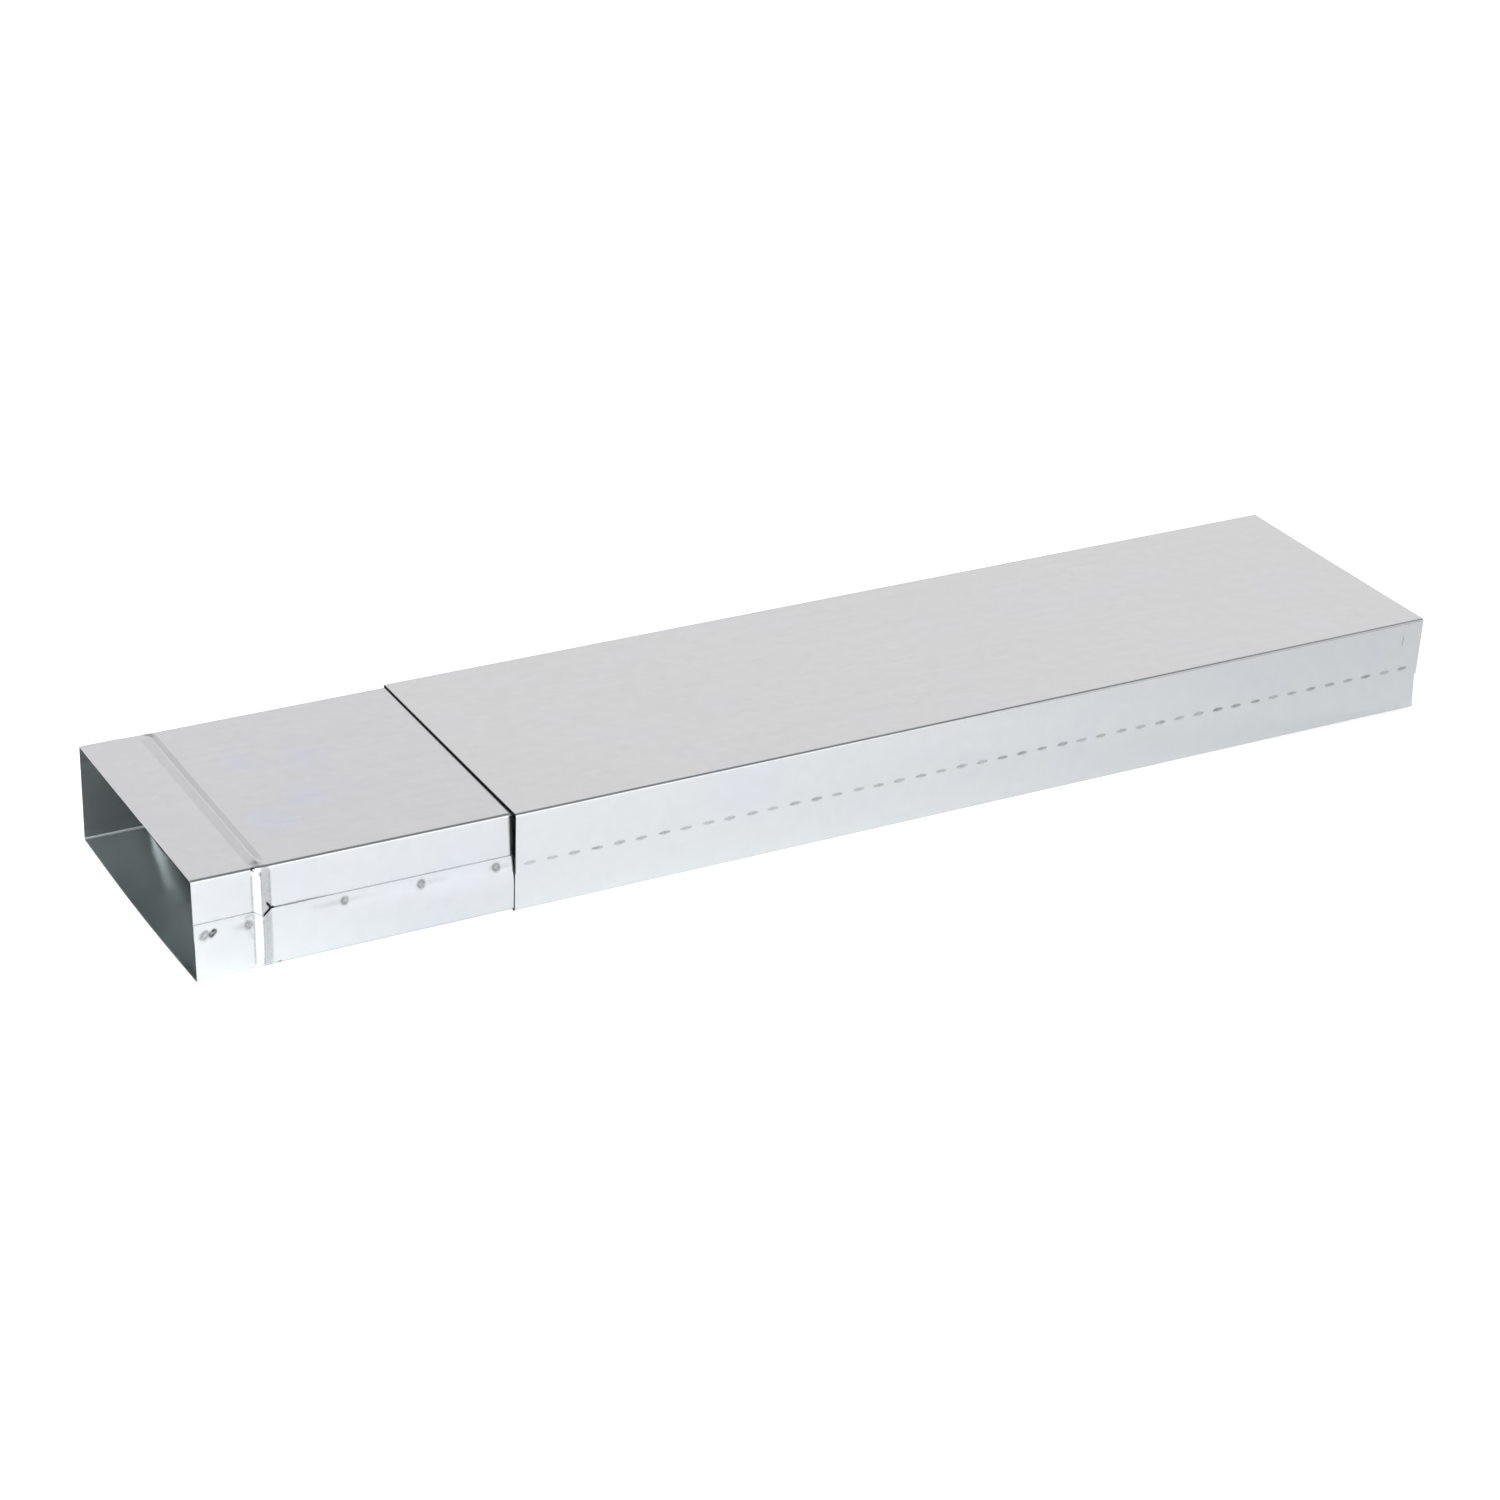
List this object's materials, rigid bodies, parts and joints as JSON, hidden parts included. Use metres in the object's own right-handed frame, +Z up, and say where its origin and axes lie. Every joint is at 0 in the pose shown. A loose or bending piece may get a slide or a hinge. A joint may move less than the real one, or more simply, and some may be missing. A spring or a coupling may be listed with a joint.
{
  "type": "telescopic flat channel duct",
  "caption": "Flat rectangular duct of galvanised sheet: a beaded inner channel slides in an outer channel to set the length, each closed by a welded lap along its side.",
  "frame": {"origin": "on the floor, under the middle of the duct's length and width as stored", "axes": "+X along the duct, from the beaded spigot to the open socket end; +Z up from the wide underside; the welded side faces -Y"},
  "size_m": [0.677, 0.1512, 0.0512],
  "materials": {
    "galvanised_outer": "hot-dip galvanised sheet, skin-passed, satin grey",
    "galvanised_inner": "hot-dip galvanised sheet, skin-passed, satin grey, faint bluish stains"
  },
  "bodies": {
    "outer": {"outer_channel": "galvanised_outer"},
    "inner": {"inner_channel": "galvanised_inner"}
  },
  "joints": [
    {"name": "telescope", "type": "slide", "parent": "outer", "child": "inner", "axis": [-1, 0, 0], "range_m": [-0.1185, 0.26]}
  ]
}
